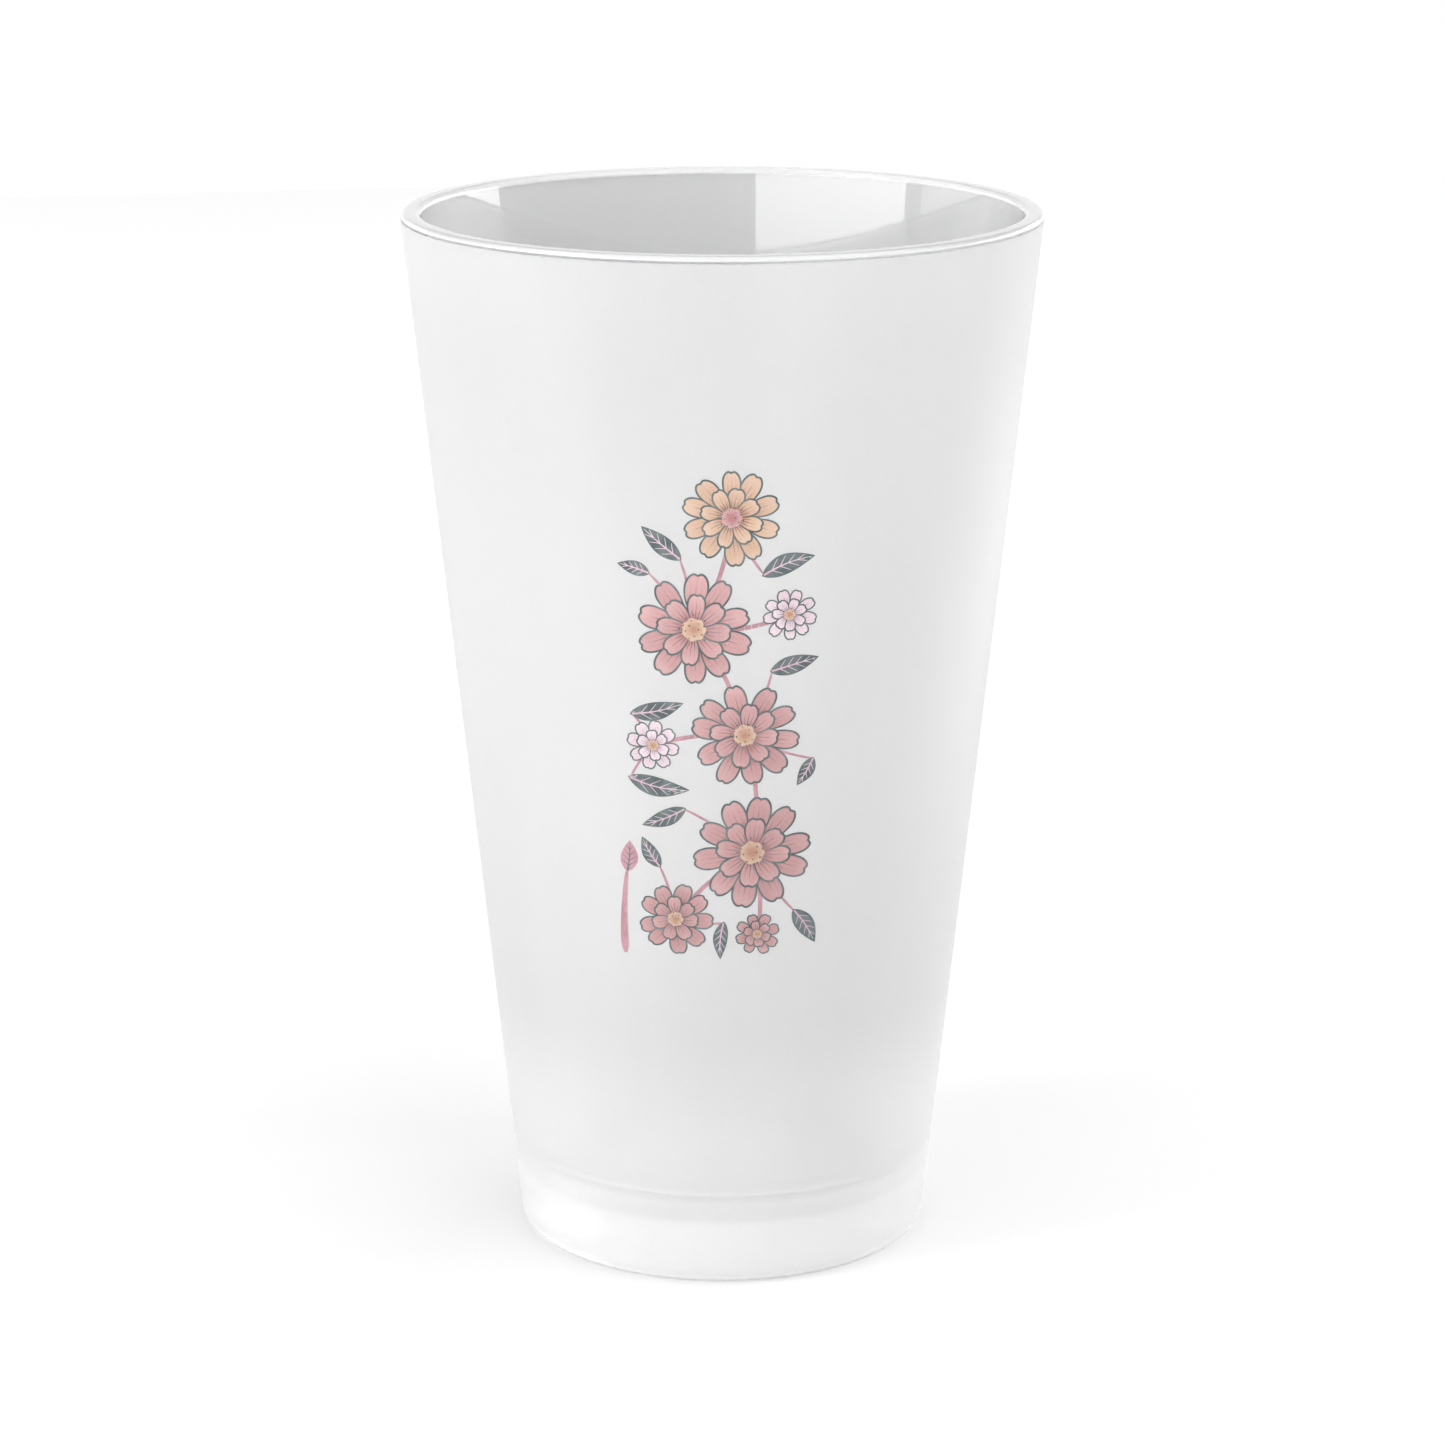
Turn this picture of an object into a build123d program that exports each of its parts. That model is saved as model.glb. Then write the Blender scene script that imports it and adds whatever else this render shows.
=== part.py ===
from build123d import *
import math
import os

# A frosted pint glass. Millimetres, +Z up, the glass's axis on Z, its foot on z = 0.
# The printed spray of flowers faces -Y.

# Glass
HEIGHT = 147.5
RIM_RADIUS = 44.45
FOOT_RADIUS = 29.0          # where the tapered wall would meet z = 0 without its rounded heel
HEEL_ROUND = 2.5
LIP_WALL = 2.7              # wall thickness at the lip
FLOOR_WALL = 3.7            # wall thickness where the wall reaches the floor
FLOOR_HEIGHT = 11.0         # top of the thick base
FLOOR_ROUND = 5.0           # between the inside wall and the floor
LIP_ROUND_OUT = 0.6
LIP_ROUND_IN = 0.9
REST_RING_RADIUS = 22.0     # inner edge of the ring that the glass rests on
PUNT_DEPTH = 1.3            # height of the hollow under the base

# Frosted coating
COAT = 0.10
COAT_TOP = HEIGHT - 1.0     # a clear band of lip stays bare
COAT_FOOT = 0.15            # the coating ends on the heel, clear of the surface below

# Printed spray, in mm across and up the front of the glass
INK = 0.06
PETAL_REACH = 0.64          # a petal's centre, as a share of the bloom's radius
PETAL_HALF = 0.36           # half a petal's length, as a share of the bloom's radius
PETAL_SPREAD = 0.72         # petals overlap their neighbours near the middle
HEART = 0.5                 # the solid middle, as a share of the bloom's radius

# Each bloom: x, z, radius, petals, turn in degrees
GOLD_BLOOMS = [(1.2, 112.6, 6.8, 11, 8)]
ROSE_BLOOMS = [
    (-3.8, 97.0, 8.0, 10, 0),
    (2.9, 82.0, 7.6, 9, 6),
    (4.0, 65.2, 8.2, 10, 18),
    (-6.4, 55.4, 5.4, 8, 14),
    (4.8, 53.2, 3.2, 7, 30),
]
BLUSH_BLOOMS = [(8.9, 98.9, 3.8, 8, 10), (-9.2, 80.4, 3.7, 7, 25)]

# Each leaf: foot x, foot z, length, width, direction in degrees from +X
LEAVES = [
    (5.2, 104.4, 7.5, 2.8, 20),
    (-5.4, 106.6, 7.0, 2.6, 140),
    (-9.6, 104.6, 4.5, 2.0, 165),
    (6.3, 91.0, 6.8, 2.6, 15),
    (-5.2, 86.6, 7.5, 2.6, 195),
    (-4.4, 74.2, 8.5, 2.8, 170),
    (-4.9, 71.6, 6.6, 2.4, 205),
    (10.0, 74.6, 4.5, 2.0, 60),
    (9.6, 56.6, 6.0, 2.6, -60),
    (-8.4, 62.8, 5.0, 2.2, 120),
    (0.2, 55.2, 5.6, 2.0, 265),
]

# A slender stalk beside the blooms, with a bud on top
STALK = [(-13.2, 50.4), (-13.6, 55.5), (-13.0, 60.6)]
STALK_WIDTH = 1.2
BUD = (-12.9, 61.8, 4.6, 2.4, 86)

TAPER = math.atan2(RIM_RADIUS - FOOT_RADIUS, HEIGHT)


def wall_radius(z):
    """Outer radius of the bare glass at a height."""
    return FOOT_RADIUS + z * math.tan(TAPER)


def corner_near(face, r, z):
    """The corner of a half section nearest to a radius and height."""
    return face.vertices().sort_by_distance(Vector(r, 0, z))[0]


def half_section(*points):
    """A closed face in the XZ plane from (radius, height) corners."""
    return make_face(Plane.XZ * Polyline(*points, close=True))


def outside(grow):
    """Half section of the tapered outside with its rounded heel, grown outwards all over."""
    sideways = grow / math.cos(TAPER)
    foot = (wall_radius(-grow) + sideways, -grow)
    face = half_section((0, -grow), foot, (RIM_RADIUS + sideways, HEIGHT), (0, HEIGHT))
    return fillet(corner_near(face, *foot), HEEL_ROUND + grow)


def cavity():
    """Half section of the drinking space, up to the lip."""
    floor_corner = (wall_radius(FLOOR_HEIGHT) - FLOOR_WALL, FLOOR_HEIGHT)
    lip = (RIM_RADIUS - LIP_WALL, HEIGHT)
    face = half_section((0, FLOOR_HEIGHT), floor_corner, lip, (0, HEIGHT))
    return fillet(corner_near(face, *floor_corner), FLOOR_ROUND)


def punt():
    """Half section of the shallow domed hollow under the base."""
    dome_radius = (REST_RING_RADIUS ** 2 + PUNT_DEPTH ** 2) / (2 * PUNT_DEPTH)
    dome = Pos(0, PUNT_DEPTH - dome_radius) * Circle(dome_radius)
    window = Pos(REST_RING_RADIUS / 2, PUNT_DEPTH / 2) * Rectangle(REST_RING_RADIUS, PUNT_DEPTH)
    return Plane.XZ * (dome & window)


def glass_body():
    """The pressed tumbler in one piece: thick base, tapered wall, polished lip."""
    face = (outside(0) - cavity() - punt()).face()
    face = fillet(corner_near(face, RIM_RADIUS, HEIGHT), LIP_ROUND_OUT)
    face = fillet(corner_near(face, RIM_RADIUS - LIP_WALL, HEIGHT), LIP_ROUND_IN)
    return revolve(face, Axis.Z)


def frost_coating():
    """The satin film on the outside, from under the lip to the heel."""
    middle = (COAT_TOP + COAT_FOOT) / 2
    band = Plane.XZ * (Pos(RIM_RADIUS, middle) * Rectangle(2 * RIM_RADIUS, COAT_TOP - COAT_FOOT))
    return revolve((outside(COAT) - outside(0)) & band, Axis.Z)


def bloom(x, z, radius, petals, turn):
    """The flat outline of a bloom: a ring of oval petals round a solid middle."""
    half_width = radius * PETAL_SPREAD * math.sin(math.pi / petals)
    petal = Pos(radius * PETAL_REACH, 0) * Ellipse(radius * PETAL_HALF, half_width)
    shape = Circle(radius * HEART)
    for step in range(petals):
        shape += Rot(0, 0, turn + 360 * step / petals) * petal
    return Pos(x, z) * shape


def leaf(x, z, length, width, direction):
    """The flat outline of a leaf: two arcs that meet in a point at each end."""
    upper = ThreePointArc((0, 0), (length / 2, width / 2), (length, 0))
    lower = ThreePointArc((length, 0), (length / 2, -width / 2), (0, 0))
    return Pos(x, z) * Rot(0, 0, direction) * make_face(upper + lower)


def ink_film(shapes):
    """One ink: its flat shapes wrapped round the front of the coating."""
    skin = revolve(outside(COAT + INK) - outside(COAT), Axis.Z)
    front = Pos(0, -RIM_RADIUS, HEIGHT / 2) * Box(2 * RIM_RADIUS, 2 * RIM_RADIUS, HEIGHT)
    front_skin = skin & front
    films = [extrude(Plane.XZ * shape, 2 * RIM_RADIUS) & front_skin for shape in shapes]
    return Compound(children=[solid for film in films for solid in film.solids()])


def main():
    os.makedirs("parts", exist_ok=True)
    stalk = SlotArc(ThreePointArc(*STALK), STALK_WIDTH)
    inks = {
        "gold": [bloom(*item) for item in GOLD_BLOOMS],
        "rose": [bloom(*item) for item in ROSE_BLOOMS],
        "blush": [bloom(*item) for item in BLUSH_BLOOMS],
        "leaf": [leaf(*item) for item in LEAVES],
        "stalk": [stalk, leaf(*BUD)],
    }
    export_step(glass_body(), "parts/glass_body.step")
    export_step(frost_coating(), "parts/frost_coating.step")
    for name, shapes in inks.items():
        export_step(ink_film(shapes), f"parts/print_{name}_ink.step")


main()
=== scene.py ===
import bpy
import bmesh
import math
import random
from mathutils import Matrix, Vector


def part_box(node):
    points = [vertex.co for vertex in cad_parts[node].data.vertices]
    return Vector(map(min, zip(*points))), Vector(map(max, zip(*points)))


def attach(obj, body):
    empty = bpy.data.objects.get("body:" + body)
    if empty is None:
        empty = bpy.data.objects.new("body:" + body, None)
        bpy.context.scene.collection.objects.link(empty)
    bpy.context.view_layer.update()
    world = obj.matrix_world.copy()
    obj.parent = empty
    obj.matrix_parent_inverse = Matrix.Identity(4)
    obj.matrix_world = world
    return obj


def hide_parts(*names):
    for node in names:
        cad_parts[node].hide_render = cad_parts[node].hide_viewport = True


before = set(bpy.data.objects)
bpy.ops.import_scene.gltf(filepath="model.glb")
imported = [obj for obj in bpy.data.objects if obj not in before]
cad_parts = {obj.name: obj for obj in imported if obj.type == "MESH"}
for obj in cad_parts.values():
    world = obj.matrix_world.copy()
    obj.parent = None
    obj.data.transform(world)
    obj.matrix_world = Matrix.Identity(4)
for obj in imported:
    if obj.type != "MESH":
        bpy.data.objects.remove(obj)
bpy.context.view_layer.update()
MM = 0.001
TINY = 1e-6                  # a length in millimetres that counts as nothing

# The glass, in millimetres. Its height and the frost's ends come from the CAD boxes.
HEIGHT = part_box("glass_body")[1].z / MM
COAT_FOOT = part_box("frost_coating")[0].z / MM
COAT_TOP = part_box("frost_coating")[1].z / MM
RIM_RADIUS = 44.45
FOOT_RADIUS = 29.0           # where the tapered wall would meet the ground without its rounded heel
HEEL_ROUND = 2.5
LIP_WALL = 2.7
FLOOR_WALL = 3.7             # wall thickness where the wall reaches the inside floor
FLOOR_HEIGHT = 11.0
FLOOR_ROUND = 5.0
LIP_ROUND_OUT = 0.6
LIP_ROUND_IN = 0.9
REST_RING_RADIUS = 22.0      # the glass rests outside this ring
PUNT_DEPTH = 1.3             # hollow under the base
COAT = 0.10                  # the frost stands this far outside the bare glass
COAT_GAP = 0.02              # clearance between the glass and the film
TAPER = math.atan2(RIM_RADIUS - FOOT_RADIUS, HEIGHT)
SEGMENTS = 256               # round the glass
ARC_STEPS = 10
PUNT_STEPS = 16

# Heights of the printed films over the frost, in millimetres, from the first one printed to the last
FILM = 0.0008                # a film's own thickness
STEM_LIFT = 0.0005
LEAF_LIFT = 0.0020
SIDE_VEIN_LIFT = 0.0032
RIB_LIFT = 0.0044
PETAL_LIFT = 0.0060          # the lowest petal of a bloom
PETAL_STEP = 0.0026          # each petal lies over the one before it
OUTLINE_GAP = 0.0006         # from a petal up to its own line work
HEART_LIFT = 0.0555
DOT_LIFT = 0.0585

STRIP_WIDTH = 0.4            # a wide ribbon is built of strips no wider than this, to follow the glass
STEM_WIDTH = 0.6
STEM_BOW = 0.12              # how far a stem bows sideways, as a share of its length
PETIOLE_WIDTH = 0.35
PETIOLE_BOW = 0.08
STALK_WIDTH = 1.2
STALK_BOW = 0.05
STALK_TAPER = 0.4            # the stalk's width at its bud, as a share of its width at the foot
BUD_OVERLAP = 0.6            # the stalk reaches this far into its bud, in millimetres
VINE_LEFT = -5               # rose blooms right of this, in millimetres, are strung on the vine
PETAL_POINTS = 40            # round a petal's outline
PETAL_RINGS = 5
LEAF_STEPS = 14              # along a leaf
STEM_STEPS = 16
HEART_POINTS = 42
HEART_SCALLOPS = 7
DOT_POINTS = 8
PRINT_SEED = 11

# The glass's materials, as indices of its slots
CLEAR, ETCHED, LIP = range(3)


# ---------------------------------------------------------------- shader nodes

def add_node(tree, kind, inputs=None, **settings):
    """A new node. An input is a number, a colour or another node's output."""
    node = tree.nodes.new(kind)
    for key, value in settings.items():
        setattr(node, key, value)
    for key, value in (inputs or {}).items():
        if isinstance(value, bpy.types.NodeSocket):
            tree.links.new(value, node.inputs[key])
        else:
            node.inputs[key].default_value = value
    return node


def blank_material(name, **sockets):
    """A material with one Principled shader, whose plain values are set on its own sockets."""
    material = bpy.data.materials.new(name)
    material.use_nodes = True
    shader = material.node_tree.nodes["Principled BSDF"]
    for key, value in sockets.items():
        shader.inputs[key.replace("_", " ")].default_value = value
    return material, material.node_tree, shader


def noise(tree, scale, detail=2.0, stretch=None):
    """Noise over the object, with scale in features per metre, and stretch along X, Y and Z."""
    place = add_node(tree, "ShaderNodeTexCoord").outputs["Object"]
    if stretch:
        place = add_node(tree, "ShaderNodeMapping", {"Vector": place, "Scale": stretch}).outputs[0]
    inputs = {"Vector": place, "Scale": scale, "Detail": detail}
    return add_node(tree, "ShaderNodeTexNoise", inputs).outputs["Fac"]


def height_up(tree):
    """The height of the shaded spot over the foot, in metres."""
    place = add_node(tree, "ShaderNodeTexCoord").outputs["Object"]
    return add_node(tree, "ShaderNodeSeparateXYZ", {0: place}).outputs["Z"]


def remap(tree, value, low, high, to_low, to_high, style="LINEAR"):
    """Maps the range low..high of a value onto to_low..to_high, and holds it there."""
    inputs = {"Value": value, "From Min": low, "From Max": high, "To Min": to_low, "To Max": to_high}
    return add_node(tree, "ShaderNodeMapRange", inputs, interpolation_type=style).outputs["Result"]


def calculate(tree, operation, first, second):
    return add_node(tree, "ShaderNodeMath", {0: first, 1: second}, operation=operation).outputs[0]


def blend_color(tree, factor, first, second):
    """Mixes two colours, each three numbers or an output."""
    node = tree.nodes.new("ShaderNodeMix")
    node.data_type = "RGBA"
    for key, value in (("Factor_Float", factor), ("A_Color", first), ("B_Color", second)):
        socket = next(s for s in node.inputs if s.identifier == key)
        if isinstance(value, bpy.types.NodeSocket):
            tree.links.new(value, socket)
        else:
            socket.default_value = (*value, 1)
    return next(s for s in node.outputs if s.identifier == "Result_Color")


def scaled(tree, color, factor):
    node = add_node(tree, "ShaderNodeVectorMath", {0: color, "Scale": factor}, operation="SCALE")
    return node.outputs[0]


def add_bump(tree, shader, height, strength, distance):
    """Bump from a height output, with distance in millimetres."""
    inputs = {"Height": height, "Strength": strength, "Distance": distance * MM}
    tree.links.new(add_node(tree, "ShaderNodeBump", inputs).outputs["Normal"], shader.inputs["Normal"])


# ---------------------------------------------------------------- materials

def clear_glass():
    """Pressed soda-lime glass: a faint waviness, and a trace of haze from washing."""
    material, tree, shader = blank_material(
        "body_glass", Base_Color=(0.985, 0.99, 0.99, 1), Transmission_Weight=1.0, IOR=1.5)
    haze = remap(tree, noise(tree, 140, 3), 0.35, 0.75, 0.03, 0.055)
    tree.links.new(haze, shader.inputs["Roughness"])
    add_bump(tree, shader, noise(tree, 55, 1), 0.10, 0.3)
    return material


def hazed_lip():
    """The fire-polished lip, with a soft haze of the frost's overspray on it."""
    material, tree, shader = blank_material(
        "hazed_lip", Base_Color=(0.97, 0.97, 0.97, 1), Transmission_Weight=0.6, IOR=1.5)
    haze = remap(tree, noise(tree, 300, 3), 0.3, 0.7, 0.10, 0.16)
    tree.links.new(haze, shader.inputs["Roughness"])
    return material


def etched_wall():
    """The glass face that the frost is bonded to: it scatters the light that goes through."""
    material, tree, shader = blank_material(
        "etched_wall", Base_Color=(0.94, 0.94, 0.94, 1), Transmission_Weight=1.0, IOR=1.5)
    cloud = remap(tree, noise(tree, 60), 0.3, 0.7, 0.285, 0.33)
    tree.links.new(cloud, shader.inputs["Roughness"])
    return material


def satin_frost():
    """The frost film: fine sprayed grain in soft clouds, with painted light and shade in its colour:
    lighter at the heel and over the solid foot, darker at the waist, and lighter towards the mouth.
    """
    material, tree, shader = blank_material(
        "satin_frost", Alpha=0.45, Specular_IOR_Level=1.0, Sheen_Weight=0.9, Sheen_Roughness=0.6)
    cloud = remap(tree, noise(tree, 45, 3, (1, 1, 0.35)), 0.3, 0.7, 0.0, 1.0)
    grain = noise(tree, 5200)
    white = blend_color(tree, cloud, (0.73, 0.73, 0.73), (0.77, 0.77, 0.77))
    # Painted light and shade by height: lighter at the heel against its contact shade, lighter over the
    # solid foot, darker at the waist, and lighter towards the mouth.
    up = height_up(tree)
    heel = remap(tree, up, 0.0004, 0.0016, 1.20, 1.0, "SMOOTHSTEP")
    foot = remap(tree, up, 0.0088, 0.0104, 1.11, 1.0, "SMOOTHSTEP")
    waist = remap(tree, up, 0.018, 0.040, 1.0, 0.80, "SMOOTHSTEP")
    mouth = remap(tree, up, 0.045, 0.145, 1.0, 1.17)
    # The film's tone: its real grain, multiplied below by the painted light and shade.
    grain_and_painted_light = remap(tree, grain, 0.3, 0.7, 0.98, 1.02)
    for share in (heel, foot, waist, mouth):
        grain_and_painted_light = calculate(tree, "MULTIPLY", grain_and_painted_light, share)
    tree.links.new(scaled(tree, white, grain_and_painted_light), shader.inputs["Base Color"])
    tree.links.new(remap(tree, grain, 0.3, 0.7, 0.46, 0.56), shader.inputs["Roughness"])
    add_bump(tree, shader, grain, 0.2, 0.02)
    return material


def dry_ink(name):
    """A matt ink's shader with the fine speckle of its pigment, and that speckle's output."""
    material, tree, shader = blank_material(name, Specular_IOR_Level=0.3)
    speckle = noise(tree, 4200)
    tree.links.new(remap(tree, speckle, 0.3, 0.7, 0.55, 0.75), shader.inputs["Roughness"])
    add_bump(tree, shader, speckle, 0.2, 0.02)
    return material, tree, shader, speckle


def petal_ink(name, heart, body, tip, vein_strength):
    """A washed ink for petals: veined, and deeper by the heart, at the rim and low on the glass."""
    material, tree, shader, speckle = dry_ink(name)
    place = add_node(tree, "ShaderNodeAttribute", attribute_name="petal_place").outputs["Vector"]
    parts = add_node(tree, "ShaderNodeSeparateXYZ", {0: place})
    rim = add_node(tree, "ShaderNodeAttribute", attribute_name="petal_rim").outputs["Fac"]

    drift = remap(tree, noise(tree, 260, 3), 0.3, 0.7, -0.16, 0.16)
    along = calculate(tree, "ADD", parts.outputs["X"], drift)
    color = blend_color(tree, remap(tree, along, 0.05, 0.55, 0.0, 1.0, "SMOOTHSTEP"), heart, body)
    color = blend_color(tree, remap(tree, along, 0.55, 1.05, 0.0, 0.8, "SMOOTHSTEP"), color, tip)

    wave = calculate(tree, "COSINE", calculate(tree, "MULTIPLY", parts.outputs["Y"], 4.5 * math.pi), 0.0)
    vein = remap(tree, wave, 0.7, 1.0, 0.0, vein_strength, "SMOOTHSTEP")
    vein = calculate(tree, "MULTIPLY", vein, remap(tree, parts.outputs["X"], 0.35, 0.95, 1.0, 0.0))
    color = blend_color(tree, vein, color, heart)
    color = blend_color(tree, remap(tree, rim, 0.84, 1.0, 0.0, 0.45, "SMOOTHSTEP"), color, heart)

    shade = calculate(
        tree, "MULTIPLY", remap(tree, parts.outputs["Z"], 0.0, 1.0, 0.93, 1.04),
        remap(tree, speckle, 0.3, 0.7, 0.94, 1.06))
    shade = calculate(tree, "MULTIPLY", shade, remap(tree, height_up(tree), 0.05, 0.11, 0.86, 1.05))
    tree.links.new(scaled(tree, color, shade), shader.inputs["Base Color"])
    return material


def patchy_ink(name, dark, light):
    """An ink for leaves, stems and line work: two tones in soft patches, and fine speckle."""
    material, tree, shader, speckle = dry_ink(name)
    patch = remap(tree, noise(tree, 420, 3), 0.35, 0.65, 0.0, 1.0, "SMOOTHSTEP")
    color = blend_color(tree, patch, dark, light)
    tone = scaled(tree, color, remap(tree, speckle, 0.3, 0.7, 0.94, 1.06))
    tree.links.new(tone, shader.inputs["Base Color"])
    return material


def studio_floor():
    """A matt white floor, painted darker near the glass as painted shade round its shadow and lighter
    away from it, with a faintly glowing ring under its heel as painted light against the contact shade.
    """
    material, tree, shader = blank_material("floor", Specular_IOR_Level=0.0, Roughness=0.9)
    place = add_node(tree, "ShaderNodeTexCoord").outputs["Object"]
    away = add_node(tree, "ShaderNodeVectorMath", {0: place}, operation="LENGTH").outputs["Value"]
    # Painted shade: the floor's colour is darker near the glass, round its shadow, and painted lighter
    # further out.
    tone = remap(tree, away, 0.05, 0.16, 0.775, 0.82, "SMOOTHSTEP")
    tree.links.new(tone, shader.inputs["Base Color"])
    # Painted light: a faintly glowing ring under the heel lightens the contact shade there.
    inner = remap(tree, away, 0.0256, 0.0266, 0.0, 0.4, "SMOOTHSTEP")
    outer = remap(tree, away, 0.0270, 0.0291, 1.0, 0.0, "SMOOTHSTEP")
    tree.links.new(calculate(tree, "MULTIPLY", inner, outer), shader.inputs["Emission Strength"])
    return material


# ---------------------------------------------------------------- mesh helpers

def wall_radius(z):
    """Outer radius of the bare glass at a height, in millimetres."""
    return FOOT_RADIUS + z * math.tan(TAPER)


def turn(spot, angle):
    """A flat point turned anticlockwise about the origin."""
    cosine, sine = math.cos(angle), math.sin(angle)
    return Vector((spot.x * cosine - spot.y * sine, spot.x * sine + spot.y * cosine))


def rounded(corners):
    """Points of an open outline of (x, y, radius) corners. A corner with a radius becomes an arc."""
    points = []
    for index, (x, y, radius) in enumerate(corners):
        corner = Vector((x, y))
        if radius == 0:
            points.append(corner)
            continue
        before = (Vector(corners[index - 1][:2]) - corner).normalized()
        after = (Vector(corners[index + 1][:2]) - corner).normalized()
        half = before.angle(after) / 2
        centre = corner + (before + after).normalized() * (radius / math.sin(half))
        start = corner + before * (radius / math.tan(half)) - centre
        sweep = math.copysign(math.pi - 2 * half, after.x * before.y - after.y * before.x)
        points += [centre + turn(start, sweep * step / ARC_STEPS) for step in range(ARC_STEPS + 1)]
    return points


def show(name, mesh, node, materials):
    """A shown piece, riding on the one body and standing for a CAD node."""
    for material in materials:
        mesh.materials.append(material)
    piece = bpy.data.objects.new(name, mesh)
    bpy.context.scene.collection.objects.link(piece)
    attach(piece, "root")
    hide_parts(node)


def turned(name, outline, closed, material_of):
    """A mesh made by turning an outline of (radius, height) points about Z, counted anticlockwise."""
    shape = bmesh.new()
    rings = []
    for point in outline:
        if point.x < TINY:
            rings.append([shape.verts.new((0, 0, point.y * MM))] * SEGMENTS)
            continue
        spokes = [turn(Vector((point.x, 0)), 2 * math.pi * step / SEGMENTS) for step in range(SEGMENTS)]
        rings.append([shape.verts.new(Vector((spoke.x, spoke.y, point.y)) * MM) for spoke in spokes])
    following = rings[1:] + rings[:1] if closed else rings[1:]
    for index, (low, high) in enumerate(zip(rings, following)):
        for step in range(SEGMENTS):
            after = (step + 1) % SEGMENTS
            corners = dict.fromkeys((low[step], low[after], high[after], high[step]))
            face = shape.faces.new(list(corners))
            face.smooth = True
            face.material_index = material_of(index)
    mesh = bpy.data.meshes.new(name)
    shape.to_mesh(mesh)
    shape.free()
    return mesh


# ---------------------------------------------------------------- the glass and its frost

def glass_outline():
    """Half section of the tumbler, from under its middle up the outside, over the lip and down inside."""
    dome_radius = (REST_RING_RADIUS ** 2 + PUNT_DEPTH ** 2) / (2 * PUNT_DEPTH)
    dome = []
    for step in range(PUNT_STEPS):
        radius = REST_RING_RADIUS * step / PUNT_STEPS
        drop = dome_radius - math.sqrt(dome_radius ** 2 - radius ** 2)
        dome.append(Vector((radius, PUNT_DEPTH - drop)))
    wall = rounded([
        (REST_RING_RADIUS, 0, 0),
        (FOOT_RADIUS, 0, HEEL_ROUND),
        (wall_radius(COAT_TOP), COAT_TOP, 0),
        (RIM_RADIUS, HEIGHT, LIP_ROUND_OUT),
        (RIM_RADIUS - LIP_WALL, HEIGHT, LIP_ROUND_IN),
        (wall_radius(FLOOR_HEIGHT) - FLOOR_WALL, FLOOR_HEIGHT, FLOOR_ROUND),
        (0, FLOOR_HEIGHT, 0),
    ])
    return dome + wall


def make_glass():
    outline = glass_outline()

    def material_of(index):
        low, high = outline[index], outline[index + 1]
        if min(low.y, high.y) > COAT_TOP - TINY:
            return LIP
        coated = COAT_FOOT < high.y <= COAT_TOP + TINY and low.y < high.y
        return ETCHED if coated and low.x > REST_RING_RADIUS else CLEAR

    mesh = turned("pint_glass_body", outline, False, material_of)
    materials = [clear_glass(), etched_wall(), hazed_lip()]
    show("pint_glass_body", mesh, "glass_body", materials)


def coat_line(grow):
    """The coated stretch of the outside, grown outwards, from the heel to under the lip."""
    sideways = grow / math.cos(TAPER)
    line = rounded([
        (0, -grow, 0),
        (wall_radius(-grow) + sideways, -grow, HEEL_ROUND + grow),
        (wall_radius(COAT_TOP) + sideways, COAT_TOP, 0),
    ])
    return [point for point in line if point.y >= COAT_FOOT]


def make_frost():
    outline = coat_line(COAT) + coat_line(COAT_GAP)[::-1]
    mesh = turned("frost_coat", outline, True, lambda index: 0)
    show("frost_coat", mesh, "frost_coating", [satin_frost()])


# ---------------------------------------------------------------- where the print's shapes lie

def islands(node):
    """The separate films of one CAD ink, each as its points (x, z) in mm on the front of the glass."""
    shape = bmesh.new()
    shape.from_mesh(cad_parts[node].data)
    bmesh.ops.remove_doubles(shape, verts=shape.verts, dist=0.01 * MM)
    found, seen = [], set()
    for first in shape.verts:
        if first in seen:
            continue
        seen.add(first)
        todo, points = [first], []
        while todo:
            vert = todo.pop()
            points.append(Vector((vert.co.x, vert.co.z)) / MM)
            around = {edge.other_vert(vert) for edge in vert.link_edges} - seen
            seen |= around
            todo += around
        found.append(points)
    shape.free()
    return sorted(found, key=lambda points: -max(point.y for point in points))


def round_islands(node):
    """Centre and radius of each round film."""
    rounds = []
    for points in islands(node):
        low = Vector((min(p.x for p in points), min(p.y for p in points)))
        high = Vector((max(p.x for p in points), max(p.y for p in points)))
        rounds.append(((low + high) / 2, max(high - low) / 2))
    return rounds


def long_island(points, blooms):
    """Foot, tip and half width of a long film. Its foot is the end that is nearer to a bloom."""
    low = min(points, key=lambda p: p.y)
    first = max(points, key=lambda p: (p - low).length)
    second = max(points, key=lambda p: (p - first).length)
    near = [min((end - centre).length - radius for centre, radius in blooms) for end in (first, second)]
    foot, tip = (first, second) if near[0] < near[1] else (second, first)
    side = (tip - foot).orthogonal().normalized()
    return foot, tip, max(abs((p - foot).dot(side)) for p in points)


# ---------------------------------------------------------------- films of ink

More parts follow.
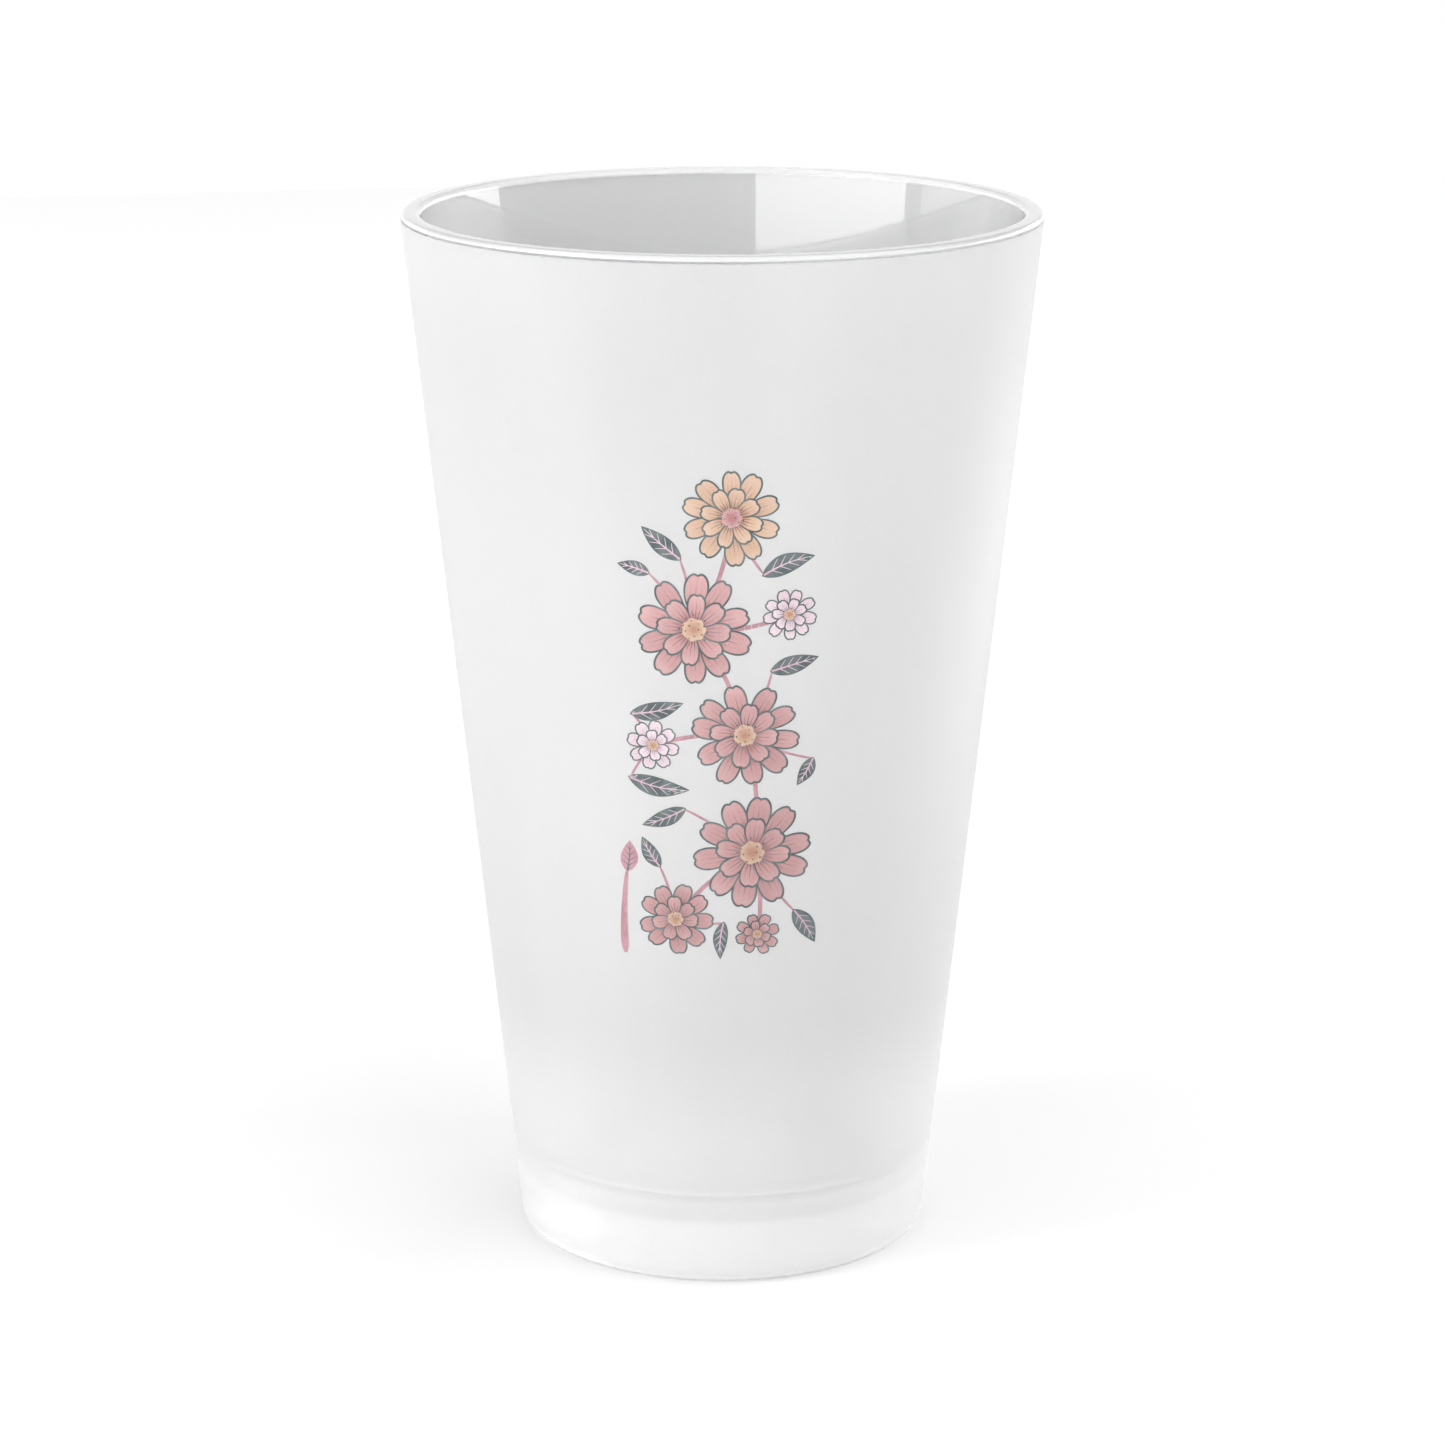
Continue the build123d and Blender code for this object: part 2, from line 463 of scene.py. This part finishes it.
class Film:
    """Collects the thin closed shapes of one ink, wrapped round the front of the glass."""

    def __init__(self, name):
        self.name = name
        self.shape = bmesh.new()
        self.place = self.shape.verts.layers.float_vector.new("petal_place")
        self.rim = self.shape.verts.layers.float.new("petal_rim")

    def vertex(self, spot, lift, place, rim=0.0):
        """A vertex at (x, z) on the front, lifted off the frost by so many millimetres."""
        radius = wall_radius(spot.y) + (COAT + lift) / math.cos(TAPER)
        vert = self.shape.verts.new(Vector((spot.x, -math.sqrt(radius ** 2 - spot.x ** 2), spot.y)) * MM)
        vert[self.place] = place
        vert[self.rim] = rim
        return vert

    def band(self, first, second, closed):
        """Faces between two rows of vertices, where a row of one is a point."""
        count = len(second)
        for step in range(count if closed else count - 1):
            after = (step + 1) % count
            corners = (first[step % len(first)], second[step], second[after], first[after % len(first)])
            self.shape.faces.new(list(dict.fromkeys(corners)))

    def patch(self, outline, centre, lift, place_of, ring_count=4):
        """A closed film with a flat outline. place_of says where on the petal or leaf a spot is."""
        top = lift + FILM
        rings = [[self.vertex(centre, top, place_of(centre))]]
        for ring in range(1, ring_count + 1):
            share = ring / ring_count
            spots = [centre.lerp(spot, share) for spot in outline]
            rings.append([self.vertex(spot, top, place_of(spot), share) for spot in spots])
        rings.append([self.vertex(spot, lift, place_of(spot), 1.0) for spot in outline])
        rings.append([self.vertex(centre, lift, place_of(centre))])
        for inner, outer in zip(rings[:-2], rings[1:-1]):
            self.band(inner, outer, True)
        self.band(rings[-1], rings[-2], True)

    def stroke(self, line, widths, lift):
        """A closed ribbon along a line of spots, with its own width at each."""
        strips = math.ceil(max(widths) / STRIP_WIDTH)
        across = [2 * strip / strips - 1 for strip in range(strips + 1)]
        corners = [(share, lift) for share in across] + [(share, lift + FILM) for share in across[::-1]]
        rails = [[] for _ in corners]
        for index, (spot, width) in enumerate(zip(line, widths)):
            before, after = line[max(index - 1, 0)], line[min(index + 1, len(line) - 1)]
            side = (after - before).orthogonal().normalized() * (width / 2)
            place = (index / len(line), 0.0, 0.5)
            for rail, (share, height) in zip(rails, corners):
                rail.append(self.vertex(spot + side * share, height, place))
        for rail, neighbour in zip(rails, rails[1:] + rails[:1]):
            self.band(rail, neighbour, False)
        for end in (0, -1):
            self.shape.faces.new([rail[end] for rail in rails])

    def finish(self, node, slot, material):
        bmesh.ops.recalc_face_normals(self.shape, faces=self.shape.faces)
        mesh = bpy.data.meshes.new(self.name)
        self.shape.to_mesh(mesh)
        self.shape.free()
        show(self.name, mesh, node, [material])


def petal_outline():
    """Shares along and across of an egg-shaped petal with a notched tip, anticlockwise from its base."""
    outline = []
    for step in range(PETAL_POINTS):
        angle = 2 * math.pi * step / PETAL_POINTS
        along = 0.5 - 0.5 * math.cos(angle)
        across = -math.sin(angle) * (0.62 + 0.63 * along)
        notch = 0.06 * along ** 4 * math.exp(-(across / 0.22) ** 2)
        outline.append((along - notch, across))
    return outline


def draw_petal(wash, lines, base, angle, length, half_width, lift, chance, pen):
    """One petal with its pen outline and three short veins, pointing away from a bloom's centre."""
    bend = chance.uniform(-0.07, 0.07) * length
    seed = chance.random()

    def at(along, across):
        return base + turn(Vector((along * length, across * half_width + bend * along * along)), angle)

    def place_of(spot):
        local = turn(spot - base, -angle)
        along = min(max(local.x / length, 0.0), 1.0)
        return (along, (local.y - bend * along * along) / half_width, seed)

    edge = [at(along, across) for along, across in petal_outline()]
    wash.patch(edge, at(0.5, 0), lift, place_of, PETAL_RINGS)
    line_lift = lift + FILM + OUTLINE_GAP
    rim = edge[3:-2]
    turns = [math.pi * (index + 1) / (len(rim) + 1) for index in range(len(rim))]
    lines.stroke(rim, [pen * (0.3 + 0.7 * math.sin(part) ** 0.7) for part in turns], line_lift)
    for lean, reach in ((-0.3, 0.42), (0.0, 0.6), (0.3, 0.42)):
        steps = [step / 6 for step in range(7)]
        vein = [at(0.08 + reach * share, lean * (0.5 + share)) for share in steps]
        lines.stroke(vein, [0.5 * pen * (1 - 0.8 * share) for share in steps], line_lift)


def draw_dot(film, centre, radius):
    spokes = [turn(Vector((radius, 0)), 2 * math.pi * step / DOT_POINTS) for step in range(DOT_POINTS)]
    outline = [centre + spoke for spoke in spokes]
    film.patch(outline, centre, DOT_LIFT, lambda spot: (0.5, 0.0, 0.5), 1)


def draw_heart(heart, lines, centre, radius, chance):
    """The middle of a bloom: a scalloped disc with a crown of stamens."""
    outline = []
    for step in range(HEART_POINTS):
        angle = 2 * math.pi * step / HEART_POINTS
        reach = radius * (1 + 0.06 * math.cos(HEART_SCALLOPS * angle))
        outline.append(centre + turn(Vector((reach, 0)), angle))
    heart.patch(outline, centre, HEART_LIFT, lambda spot: ((spot - centre).length / radius, 0.0, 0.5))
    stamens = 9 + round(radius * 7)
    golden_angle = math.pi * (3 - math.sqrt(5))
    for index in range(stamens):
        reach = radius * (0.2 + 1.1 * math.sqrt((index + 0.5) / stamens))
        spot = centre + turn(Vector((reach, 0)), golden_angle * index)
        draw_dot(lines, spot, radius * chance.uniform(0.055, 0.095))


def draw_bloom(wash, heart, lines, centre, radius, chance):
    """Two whorls of petals round a heart, all inside the bloom's radius."""
    pen = 0.15 + 0.016 * radius
    outer_count = 7 + round(radius / 2.5)
    lift = PETAL_LIFT
    whorls = ((outer_count, 0.24, 1.0, 0.86), (outer_count - 2, 0.10, 0.64, 0.92))
    for count, start, reach, spread in whorls:
        widest = spread * radius * reach * 0.72 * math.sin(math.pi / count)
        first = chance.uniform(0, 2 * math.pi)
        for index in range(count):
            angle = first + 2 * math.pi * index / count + chance.uniform(-0.06, 0.06)
            base = centre + turn(Vector((start * radius, 0)), angle)
            length = radius * (reach - start) * chance.uniform(0.92, 1.0)
            half_width = widest * chance.uniform(0.92, 1.06)
            draw_petal(wash, lines, base, angle, length, half_width, lift, chance, pen)
            lift += PETAL_STEP
    draw_heart(heart, lines, centre, radius * 0.2, chance)


def draw_leaf(leaf, veins, foot, tip, half_width, chance):
    """A pointed leaf with a slight bend, a midrib and side veins."""
    axis = tip - foot
    length = axis.length
    angle = math.atan2(axis.y, axis.x)
    bend = chance.uniform(-0.06, 0.06) * length

    def at(along, across):
        sideways = across * half_width + bend * math.sin(math.pi * along)
        return foot + turn(Vector((along * length, sideways)), angle)

    def half(share):
        return math.sin(math.pi * share ** 0.82) ** 0.9

    def place_of(spot):
        local = turn(spot - foot, -angle)
        return (local.x / length, local.y / half_width, 0.5)

    shares = [step / LEAF_STEPS for step in range(LEAF_STEPS + 1)]
    near_side = [at(share, -half(share)) for share in shares[:-1]]
    far_side = [at(share, half(share)) for share in shares[1:]]
    leaf.patch(near_side + far_side[::-1], at(0.45, 0), LEAF_LIFT, place_of)
    midrib = [at(0.04 + 0.88 * share, 0) for share in shares]
    veins.stroke(midrib, [0.26 * (1 - 0.8 * share) for share in shares], RIB_LIFT)
    for root in (0.2, 0.36, 0.52, 0.68):
        for side in (-0.8, 0.8):
            end = root + 0.16
            spots = [at(root + 0.16 * step / 4, side * half(end) * step / 4) for step in range(5)]
            veins.stroke(spots, [0.15 - 0.025 * step for step in range(5)], SIDE_VEIN_LIFT)


def draw_stem(stems, start, end, bow, width, taper=1.0):
    """A slender stem between two spots. Its bow is a share of its length, and its taper of its width."""
    middle = (start + end) / 2 + (end - start).orthogonal() * bow
    line, widths = [], []
    for step in range(STEM_STEPS + 1):
        share = step / STEM_STEPS
        line.append(start.lerp(middle, share).lerp(middle.lerp(end, share), share))
        rounded_end = math.sqrt(min(1, 0.15 + 0.4 * min(step, STEM_STEPS - step)))
        widths.append(width * rounded_end * (1 + (taper - 1) * share))
    stems.stroke(line, widths, STEM_LIFT)


def nearest_bloom(spot, blooms):
    """The centre of the bloom whose rim is nearest to a spot."""
    return min(blooms, key=lambda bloom: (bloom[0] - spot).length - bloom[1])[0]


def make_print():
    """A spray of flowers in five inks, drawn over the places of the CAD films."""
    chance = random.Random(PRINT_SEED)
    rounds = {ink: round_islands(f"print_{ink}_ink") for ink in ("gold", "rose", "blush")}
    films = {ink: Film(f"print_{ink}_film") for ink in ("gold", "rose", "blush", "leaf", "stalk")}
    hearts = {"gold": films["rose"], "rose": films["gold"], "blush": films["gold"]}
    for ink, items in rounds.items():
        for centre, radius in items:
            draw_bloom(films[ink], hearts[ink], films["leaf"], centre, radius, chance)

    blooms = [bloom for items in rounds.values() for bloom in items]
    vine = rounds["gold"] + [bloom for bloom in rounds["rose"] if bloom[0].x > VINE_LEFT]
    for (upper, _), (lower, _) in zip(vine, vine[1:]):
        draw_stem(films["stalk"], upper, lower, STEM_BOW, STEM_WIDTH)
    for bloom in blooms:
        if bloom not in vine:
            draw_stem(films["stalk"], bloom[0], nearest_bloom(bloom[0], vine), STEM_BOW, STEM_WIDTH)

    for points in islands("print_leaf_ink"):
        foot, tip, half_width = long_island(points, blooms)
        draw_leaf(films["leaf"], films["blush"], foot, tip, half_width, chance)
        inside = foot.lerp(tip, 0.05)
        draw_stem(films["stalk"], inside, nearest_bloom(foot, blooms), PETIOLE_BOW, PETIOLE_WIDTH)
    bud, stalk = (long_island(points, blooms) for points in islands("print_stalk_ink"))
    draw_leaf(films["stalk"], films["leaf"], *bud, chance)
    bud_foot = min(bud[:2], key=lambda end: end.y)
    stalk_foot = min(stalk[:2], key=lambda end: end.y)
    into_bud = bud_foot + Vector((0, BUD_OVERLAP))
    draw_stem(films["stalk"], stalk_foot, into_bud, STALK_BOW, STALK_WIDTH, STALK_TAPER)

    inks = {
        "gold": petal_ink(
            "gold_wash", (0.37, 0.20, 0.14), (0.48, 0.325, 0.24), (0.54, 0.41, 0.33), 0.5),
        "rose": petal_ink(
            "rose_wash", (0.34, 0.15, 0.155), (0.43, 0.25, 0.25), (0.50, 0.325, 0.325), 0.5),
        "blush": petal_ink(
            "blush_wash", (0.50, 0.33, 0.39), (0.57, 0.46, 0.505), (0.61, 0.54, 0.565), 0.4),
        "leaf": patchy_ink("leaf_wash", (0.07, 0.092, 0.095), (0.125, 0.15, 0.153)),
        "stalk": patchy_ink("stalk_wash", (0.33, 0.18, 0.205), (0.41, 0.23, 0.26)),
    }
    for ink, film in films.items():
        film.finish(f"print_{ink}_ink", f"{ink}_ink", inks[ink])


# ---------------------------------------------------------------- stage, camera and light

AIM_HEIGHT = 0.07393         # about half way up the glass
CAMERA_ELEVATION = 14.84
CAMERA_DISTANCE = 0.618
SENSOR = 36                  # the sensor's width, in millimetres
LENS = 108.0                 # focal length, in millimetres
NEAR_CLIP = 0.01
FAR_CLIP = 50

# Each lamp: azimuth and elevation in degrees, distance, width, height, and radiance.
# Azimuth 0 is the camera's side, and positive is to the camera's left.
LAMPS = {
    "window_strip": (46, 9, 1.3, 1.62, 0.36, 5.6),
    "rear_left_strip": (118, 10, 1.4, 1.7, 0.5, 1.9),
    "rear_right_strip": (-126, 10, 1.4, 1.4, 0.5, 5.4),
    "front_fill": (-52, 50, 1.5, 1.6, 0.9, 2.0),
    "key": (64, 38, 1.2, 0.35, 0.35, 7.0),
}
HORIZON = 1.3                # the studio's light from the horizon
OVERHEAD = 0.74              # and from OVERHEAD_FROM upwards, where 1 is straight up
OVERHEAD_FROM = 0.64
BACKDROP = 1.0               # what the camera sees past the floor
FLOOR_RADIUS = 1.1
FLOOR_SIDES = 96


def towards(azimuth, elevation):
    """Unit vector to an azimuth and elevation in degrees."""
    a, e = math.radians(azimuth), math.radians(elevation)
    return Vector((-math.sin(a) * math.cos(e), -math.cos(a) * math.cos(e), math.sin(e)))


def aim(item, out, distance):
    """Puts a lamp or the camera out from the glass's middle, and turns it to face the glass."""
    item.location = Vector((0, 0, AIM_HEIGHT)) + out * distance
    item.rotation_mode = "QUATERNION"
    item.rotation_quaternion = (-out).to_track_quat("-Z", "Y")
    bpy.context.scene.collection.objects.link(item)


def make_floor():
    bpy.ops.mesh.primitive_circle_add(vertices=FLOOR_SIDES, radius=FLOOR_RADIUS, fill_type="NGON")
    floor = bpy.context.object
    floor.name = "floor"
    floor.data.materials.append(studio_floor())


def make_camera():
    data = bpy.data.cameras.new("camera")
    data.sensor_width = SENSOR
    data.lens = LENS
    data.clip_start = NEAR_CLIP
    data.clip_end = FAR_CLIP
    camera = bpy.data.objects.new("camera", data)
    aim(camera, towards(0, CAMERA_ELEVATION), CAMERA_DISTANCE)
    bpy.context.scene.camera = camera


def make_lamp(name, azimuth, elevation, distance, width, height, radiance):
    data = bpy.data.lights.new(name, "AREA")
    data.shape = "RECTANGLE"
    data.size = width
    data.size_y = height
    data.energy = math.pi * radiance * width * height
    lamp = bpy.data.objects.new(name, data)
    aim(lamp, towards(azimuth, elevation), distance)
    lamp.visible_camera = False


def make_world():
    """Soft white studio light, brighter at the horizon, with a plain white backdrop for the camera."""
    world = bpy.data.worlds.new("studio")
    bpy.context.scene.world = world
    world.use_nodes = True
    tree = world.node_tree
    background = tree.nodes["Background"]
    background.inputs["Color"].default_value = (1, 1, 1, 1)
    direction = add_node(tree, "ShaderNodeTexCoord").outputs["Generated"]
    height = add_node(tree, "ShaderNodeSeparateXYZ", {0: direction}).outputs["Z"]
    sky = remap(tree, height, 0.0, OVERHEAD_FROM, HORIZON, OVERHEAD)
    camera_ray = add_node(tree, "ShaderNodeLightPath").outputs["Is Camera Ray"]
    seen = add_node(tree, "ShaderNodeMix", {"Factor": camera_ray, "A": sky, "B": BACKDROP})
    tree.links.new(seen.outputs["Result"], background.inputs["Strength"])


make_glass()
make_frost()
make_print()
make_floor()
make_camera()
for lamp_name, settings in LAMPS.items():
    make_lamp(lamp_name, *settings)
make_world()
bpy.context.scene.view_settings.view_transform = "Standard"
